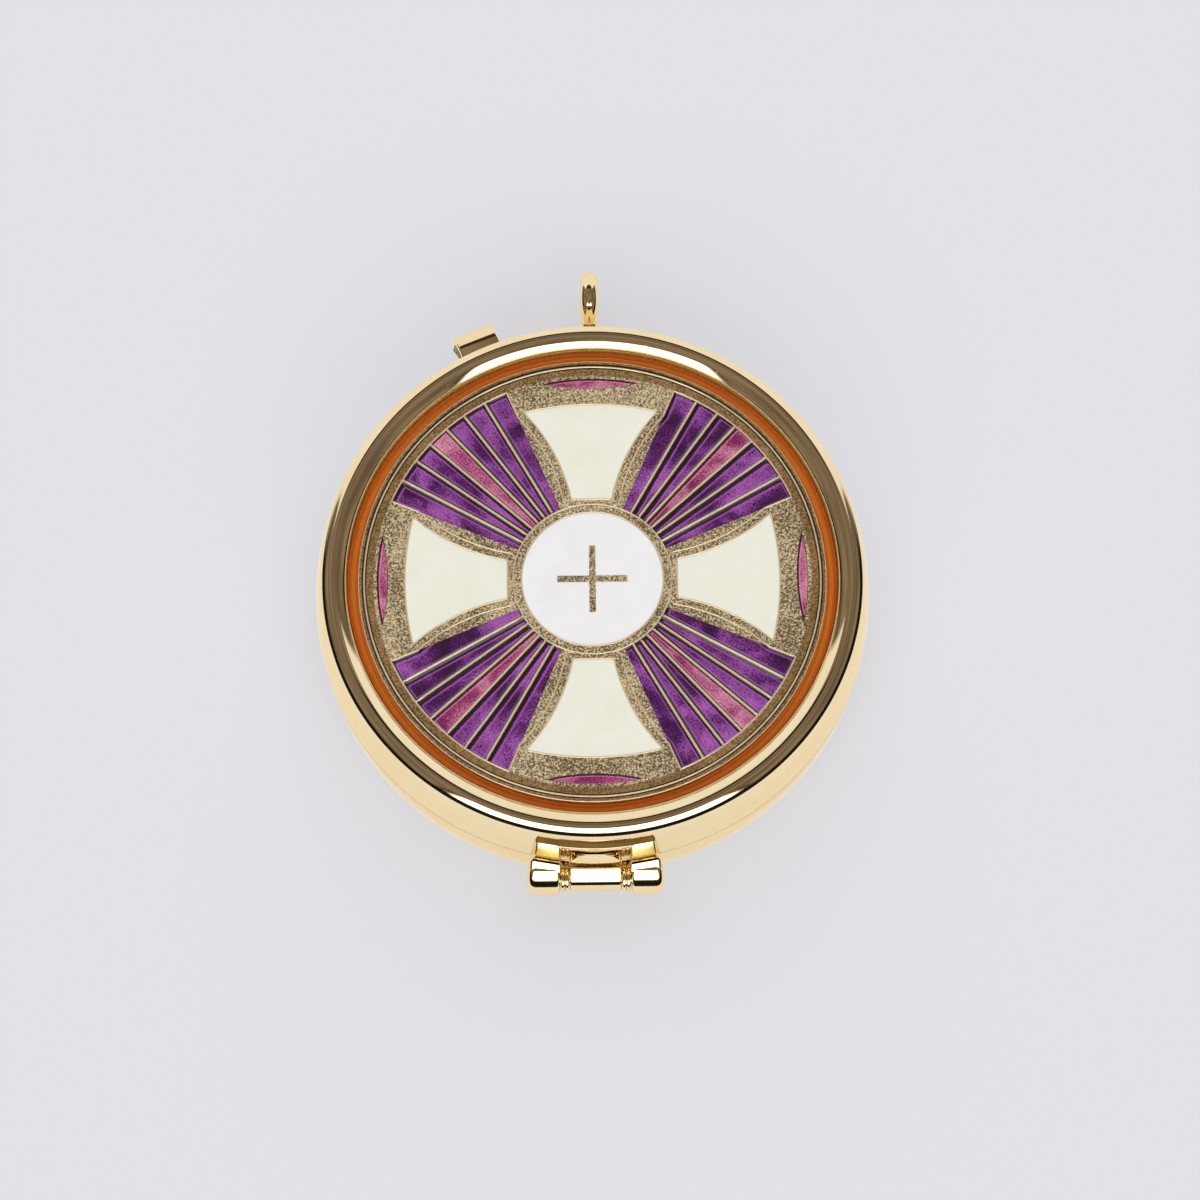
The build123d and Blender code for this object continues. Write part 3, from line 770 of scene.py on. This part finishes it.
def enamel_cell(flat, distance, dip=0.2, slope=0.4, swell=0.08, mark=None):
    """A closed cell: the shaped top, a wall down to the cell's floor, and the floor as one face. The material's
    number is the mark where there is one, and else the distance."""
    middle = np.full_like(distance, distance.max())
    slope = np.minimum(slope, 0.6 * middle)
    top = np.concatenate(
        [flat, (ground + enamel_height(distance, dip * slope / 0.4, slope, swell, middle))[..., None]], -1)
    points, quads, _ = surface(top)
    rows, columns = distance.shape
    index = np.arange(rows * columns).reshape(rows, columns)
    rim = np.concatenate([index[0], index[1:, -1], index[-1, -2::-1], index[-2:0:-1, 0]])
    below = np.column_stack([points[rim, :2], np.full(len(rim), cell_floor)])
    lower = np.arange(len(rim)) + len(points)
    walls = np.column_stack([rim, np.roll(rim, -1), np.roll(lower, -1), lower])
    return (np.vstack([points, below]), np.vstack([quads, walls]), [lower.tolist()]), np.concatenate(
        [(distance if mark is None else mark).ravel(), np.zeros(len(rim))])


def eased(count):
    """Numbers from 0 to 1, closer together near both ends."""
    return (1 - np.cos(np.linspace(0, np.pi, count))) / 2


# %% Sky cells between the arms
def arm_angle(radius):
    """The angle from an arm's axis to the outside of its gold frame, at a distance from the middle.

    It is where a circle round the middle meets the frame's side, by the law of cosines: the round at the arm's root,
    then the arm's curved side less the frame's width, and a straight ray past the arm's end.
    """
    def meeting(centre, size, sign):
        reach = np.linalg.norm(centre)
        angle = np.arccos(np.clip((radius**2 + reach**2 - size**2) / (2 * radius * reach), -1, 1))
        return np.degrees(np.arctan2(centre[0], centre[1]) + sign * angle)
    corner = np.array([arm_start_half, arm_root])
    touch = corner + frame_width * (side_centre - corner) / side_radius
    side_line = meeting(side_centre, side_radius - frame_width, -1)
    root_line = meeting(corner, frame_width, 1)
    return np.where(radius < np.linalg.norm(touch), root_line, np.minimum(side_line, arm_spread))


def sky_cell(first, last, turn, rows=72, columns=18):
    """The cell between two rays, whose angles are from the quadrant's middle. An arm's frame may cut it short."""
    radius = disc_outer + (field_radius - disc_outer) * eased(rows)[:, None]
    half_ray = np.degrees(np.arcsin(ray_width / 2 / radius))
    edge_angle = 45 - arm_angle(radius)
    low, high = np.maximum(first + half_ray, -edge_angle), np.minimum(last - half_ray, edge_angle)
    angle = low + (high - low) * eased(columns)[None]
    facing = angle + 45 + turn
    walls = [(np.radians(angle - low) * radius, facing - 90), (np.radians(high - angle) * radius, facing + 90),
             (radius - disc_outer, facing + 180), (field_radius - radius, facing)]
    mark = np.min([away / band(stands) for away, stands in walls], 0)
    return enamel_cell(
        radius[..., None] * heading(facing), np.min([away + 0 * angle for away, _ in walls], 0), mark=mark)


lines = sorted([-angle for angle in ray_angles] + [-90, 90] + list(ray_angles))
purple_cells, magenta_cells = [], []
for turn in quarters:
    for first, last in zip(lines[:-1], lines[1:]):
        beam = (first, last) == (-ray_angles[0], ray_angles[0])
        (magenta_cells if beam else purple_cells).append(sky_cell(first, last, turn))
print("sky cells:", len(purple_cells), "purple,", len(magenta_cells), "magenta")

# %% Slivers beyond the arms
sliver_angle = radians(13.0)
sliver_half, sliver_tip = field_radius * sin(sliver_angle), field_radius * cos(sliver_angle) - ray_width


def sliver(turn, rows=49, columns=9):
    """A thin pointed leaf between two arcs through the same two tips."""
    across = sliver_half * (2 * eased(rows)[:, None] - 1)
    def height(top):
        centre, radius = circle_through((-sliver_half, sliver_tip), (0, top), (sliver_half, sliver_tip))
        return centre[1] + np.sign(top - centre[1]) * np.sqrt(radius**2 - across**2)
    low, high = height(sliver_outer - 1.1), height(sliver_outer)
    up = low + (high - low) * eased(columns)[None]
    flat = np.stack([np.broadcast_to(across, up.shape), up], -1)
    mark = np.minimum((up - low) / band(turn - 90), (high - up) / band(turn + 90))
    return enamel_cell(turned_flat(flat, turn), np.minimum(up - low, high - up), 0.1, 0.25, 0.05, mark)


magenta_cells += [sliver(turn) for turn in quarters]

# %% Arms and disc
def arm_side(count):
    """Points along the arm's right side, on its circle from the root to the corner."""
    return short_arc(side_centre, side_radius, (arm_start_half, arm_root), arm_corner, count - 1)


def arm_cell(turn, rows=61, columns=31):
    """An arm: lines across it, from side to side, that bend towards the rounded end."""
    side = arm_side(rows)
    share = 2 * eased(columns)[None] - 1
    along = np.linspace(0, 1, rows)[:, None]
    x = side[:, :1] * share
    bulge = end_centre[1] + np.sqrt(end_radius**2 - (arm_end_half * share) ** 2) - arm_corner[1]
    y = side[:, 1:] + along**2 * bulge
    distance = np.minimum(np.minimum(side[:, :1] * (1 - np.abs(share)), y - arm_root), arm_corner[1] + bulge - y)
    return enamel_cell(turned_flat(np.stack([x, y], -1), turn), np.maximum(distance, 0), 0.035, 0.3, 0.025)


def disc_cell(rows=96, columns=25):
    """The white disc, as rings round the middle. The gold cross stands up through it."""
    radius = disc_radius * np.append(0, eased(2 * columns)[columns:])[None]
    angle = np.linspace(0, 2 * np.pi, rows, endpoint=False)[:, None]
    height = ground + enamel_height(disc_radius - radius, 0.05, 0.3, 0.01, 6.9) + 0 * angle
    grid = np.stack([radius * np.cos(angle), radius * np.sin(angle), height], -1)
    low = grid[:, -1:].copy()
    low[..., 2] = cell_floor
    centre = np.zeros_like(low) + np.array([0, 0, cell_floor])
    whole = np.concatenate([grid, low, centre], 1)
    distance = np.concatenate([disc_radius - radius + 0 * angle, np.zeros((rows, 2))], 1)
    return surface(whole, wrap_rows=True), distance.ravel()


# %% [markdown]
# ### Enamel colours
# The white and the cream are opaque and glossy, with a thin line of painted shade at their edges. The purple and the
# magenta are clear colours over bright stippled metal, so they get a fine sparkle painted into the colour, slow drifts
# of hue where the layer is thicker, and a painted highlight: a pale line along the foot of the painted dark band, where
# the light that comes in from above first reaches the metal.

# %% Opaque enamel
def opaque_enamel(name, colour, edge_shade_colour):
    """Glossy enamel with a thin dark line along its edge, painted shade where it meets the wall of its cell."""
    material, place = blank_material(name)
    distance = node("Attribute", {"attribute_name": "mark"}).outputs["Fac"]
    cloud = noise(place, 350.0, 4.0)
    body = mixed(smooth_step(cloud, 0.3, 0.7), colour, np.multiply(colour, (0.97, 0.97, 0.95)))
    # Painted shade: the thin dark line along the cell's edge.
    shade = mixed(smooth_step(distance, 0.03, 0.14), edge_shade_colour, body)
    bump = node("Bump", Strength=0.35, Distance=0.00003, Height=noise(place, 700.0, 1.0))
    ends_in(Base_Color=shade, Metallic=0.0, Roughness=maths("MULTIPLY_ADD", cloud, 0.1, 0.1), IOR=1.5,
            Coat_Weight=0.4, Coat_Roughness=0.06, Normal=bump)
    return material


# %% Clear enamel over metal
def clear_enamel(name, deep, body, bright, rim_shade_colour, band_share=1.0):
    """A clear colour over sparkling metal: hue drifts between three tones with a sparkle painted by fine noise, the
    band beside the walls is painted shade, and a pale painted highlight runs along the band's foot.
    """
    material, place = blank_material(name)
    mark = node("Attribute", {"attribute_name": "mark"}).outputs["Fac"]
    drift, grain = noise(place, 230.0, 2.0, Distortion=0.6), noise(place, 5600.0, 2.0)
    tones = node("ValToRGB", Fac=maths("MULTIPLY_ADD", grain, 0.45, times(drift, 0.85)))
    stops = tones.color_ramp.elements
    stops.new(0.62)
    for stop, position, tone in zip(stops, (0.5, 0.62, 0.83), (deep, body, bright)):
        stop.position, stop.color = position, (*tone, 1)
    # Painted shade in the band beside the walls, and a painted highlight along its foot.
    wobble = maths("MULTIPLY_ADD", grain, 0.3, maths("SUBTRACT", mark, 0.15))
    painted_pale_line = times(
        smooth_step(wobble, 0.9 * band_share, 1.1 * band_share),
        smooth_step(wobble, 1.15 * band_share, 1.6 * band_share, 0.75, 0.0))
    shade = mixed(smooth_step(wobble, 0.7 * band_share, band_share), rim_shade_colour, mixed(painted_pale_line, tones, bright))
    wavy = node("Bump", Strength=0.8, Distance=0.00006, Height=noise(place, 900.0, 2.0))
    ends_in(Base_Color=shade, Metallic=0.35, Roughness=maths("MULTIPLY_ADD", grain, 0.2, 0.2),
            Coat_Weight=0.7, Coat_Roughness=0.05, Normal=wavy)
    return material


# The last colour of each is the painted shade of its edge line.
white_enamel = opaque_enamel("white_enamel", (0.91, 0.91, 0.935), (0.35, 0.27, 0.17))
cream_enamel = opaque_enamel("cream_enamel", (0.88, 0.89, 0.785), (0.33, 0.26, 0.15))
# The last colour of each is the painted shade of the band beside the walls.
purple_enamel = clear_enamel(
    "purple_enamel", (0.04, 0.004, 0.05), (0.118, 0.011, 0.155), (0.50, 0.14, 0.58), (0.028, 0.003, 0.02))
magenta_enamel = clear_enamel(
    "magenta_enamel", (0.20, 0.012, 0.10), (0.44, 0.055, 0.21), (0.84, 0.36, 0.50), (0.08, 0.008, 0.035), 0.6)

# %% Enamel pieces
def enamel_piece(name, cells, material, node_name):
    """One piece for each colour, with the number for the material as its attribute."""
    make_piece(name, [cell for cell, _ in cells], material, "lid", [node_name], crease=50,
               values={"mark": np.concatenate([mark for _, mark in cells])})


enamel_piece("sky_purple", purple_cells, purple_enamel, "enamel_purple")
enamel_piece("beams_magenta", magenta_cells, magenta_enamel, "enamel_magenta")
enamel_piece("arms_cream", [arm_cell(turn) for turn in quarters], cream_enamel, "enamel_cream")
enamel_piece("disc_white", [disc_cell()], white_enamel, "enamel_white")

# %% [markdown]
# ### Stippled ground
# The die leaves a pebbled ground, toned dark and wiped, so the tops of the pebbles are bright gold and the hollows
# are brown. It is one material: a noise for the pebbles drives both the colour and the bump, and a slow one lets the
# wiping come and go. The border is toned darker, and two dark lines in it follow the turned edge.

# %% Antique gold
field_tones, border_tones = ((0.15, 0.085, 0.035), (1.0, 0.84, 0.54)), ((0.20, 0.115, 0.045), (0.62, 0.40, 0.185))
line_tone, line_insets = (0.04, 0.026, 0.012), (0.30, 0.63)
antique, place = blank_material("antique_gilt")
x, y, z = node("SeparateXYZ", Vector=place).outputs
radius = from_axis(x, y)
inside_field = smooth_step(radius, (field_radius - 0.05) * MM, (field_radius + 0.15) * MM, 1.0, 0.0)
pebble, toning = noise(place, 5400.0, 3.0, Roughness=0.6), noise(place, 230.0, 3.0)
rubbed = maths("ADD", pebble, times(maths("SUBTRACT", toning, 0.5), 0.22))
ground_colour = mixed(
    inside_field, mixed(smooth_step(rubbed, 0.35, 0.68), *border_tones),
    mixed(smooth_step(rubbed, 0.36, 0.68), *field_tones))
for inset in line_insets:
    away = maths("ABSOLUTE", maths("SUBTRACT", radius, (plate_radius - inset) * MM))
    ground_colour = mixed(smooth_step(away, 0.00003, 0.00009, 1.0, 0.0), ground_colour, line_tone)
pits = node("Bump", Distance=0.0002, Height=pebble, Strength=maths("MULTIPLY_ADD", inside_field, 0.6, 0.3))
ends_in(Base_Color=ground_colour, Metallic=0.6, Roughness=0.3, Normal=pits, Specular_Tint=plate_tint)
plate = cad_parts["medallion_plate"]
for slot in plate.material_slots:
    slot.material = antique
print("plate material slots:", len(plate.material_slots))

# %% [markdown]
# ### Bright edges
# A cell's edge is a thin raised line that the polishing mop has rubbed bright. Each is a half round wire laid along
# the outline: at every point of the path, the section spans the path's own sideways direction and up.

# %% Wires
def wire(path, width, height, closed=False, taper=0.0, level=ground):
    """A half round line along a flat path. Across is half the width times the cosine of an angle, and up is the
    height times its sine, so it meets the ground steeply. taper thins the last share of each end to a point."""
    path = np.asarray(path, float)
    along = np.roll(path, -1, 0) - np.roll(path, 1, 0) if closed else np.gradient(path, axis=0)
    sideways = np.column_stack([-along[:, 1], along[:, 0]]) / np.linalg.norm(along, axis=1)[:, None]
    share = np.linspace(0, 1, len(path))
    size = np.clip(np.minimum(share, 1 - share) / max(taper, 1e-9), 0.15, 1) if taper else np.ones(len(path))
    angle = np.linspace(0, np.pi, 7)
    across = width / 2 * np.outer(size, np.cos(angle))
    up = height * np.outer(size, np.sin(angle)) - 0.03
    flat = path[:, None] + across[..., None] * sideways[:, None]
    grid = np.concatenate([flat, level + up[..., None]], -1)
    return surface(grid, wrap_rows=closed, wrap_columns=True, cap_ends=not closed)


def ridge(radius, level, size):
    """A thin raised ring that the spinning tool leaves: a small circle carried round the axis."""
    return turned(arc((radius, level), size, 0, 360, 12)[:-1], closed=True)


def circle_path(radius, count=240):
    """Points round the middle."""
    return arc((0, 0), radius, 0, 360, count)[:-1]


def ray_path(angle, start, end, count=40):
    """A straight line outward from the middle."""
    return np.linspace(start, end, count)[:, None] * heading(angle)


def quadrant_path(turn):
    """The outline of one quadrant of sky: up one frame's side, round the field, and back down the other."""
    radius = np.linspace(disc_outer, field_radius, 70)
    angle = 45 - arm_angle(radius)
    right = np.stack([radius, 45 - angle], -1)
    rim = np.stack([np.full(40, field_radius), np.linspace(45 - angle[-1], 45 + angle[-1], 42)[1:-1]], -1)
    left = np.stack([radius, 45 + angle], -1)[::-1]
    inner = np.stack([np.full(30, disc_outer), np.linspace(45 + angle[0], 45 - angle[0], 32)[1:-1]], -1)
    polar = np.vstack([right, rim, left, inner])
    return polar[:, :1] * heading(polar[:, 1] + turn)


def arm_path(turn):
    """The outline of an arm: its right side, the rounded end, and the left side."""
    side = arm_side(40)
    end = np.linspace(arm_end_half, -arm_end_half, 32)[1:-1]
    cap = np.column_stack([end, end_centre[1] + np.sqrt(end_radius**2 - end**2)])
    root = np.column_stack([np.linspace(-arm_start_half, arm_start_half, 12)[1:-1], np.full(10, arm_root)])
    return turned_flat(np.vstack([side, cap, side[::-1] * [-1, 1], root]), turn)


disc_edge, cell_edge, ray_edge, pan_ridge = (0.14, 0.07), (0.16, 0.09), (0.24, 0.11), (23.92, 12.28, 0.055)
edges = [
    wire(circle_path(disc_radius), *disc_edge, True), wire(circle_path(disc_outer), *disc_edge, True),
    wire(circle_path(plate_radius - 0.12, round_steps), 0.24, 0.12, True, level=ground + 0.03),
    wire(circle_path(plate_radius - 0.48, round_steps), 0.19, 0.1, True),
    ridge(plate_radius + 0.01, ground - 0.03, 0.09), ridge(*pan_ridge)]
for turn in quarters:
    edges += [wire(quadrant_path(turn), *cell_edge, True), wire(arm_path(turn), *cell_edge, True)]
    for side in (-1, 1):
        edges += [wire(ray_path(45 + turn + side * angle, disc_outer - 0.05, field_radius + 0.05), *ray_edge,
                       taper=0.04) for angle in ray_angles]
edge_gilt = gilt("gilt_edges", (0.95, 0.80, 0.54), 0.16, rings=0.0, mottle=0.5, metal=0.5)
make_piece("cell_edges", edges, edge_gilt, "lid", crease=60)
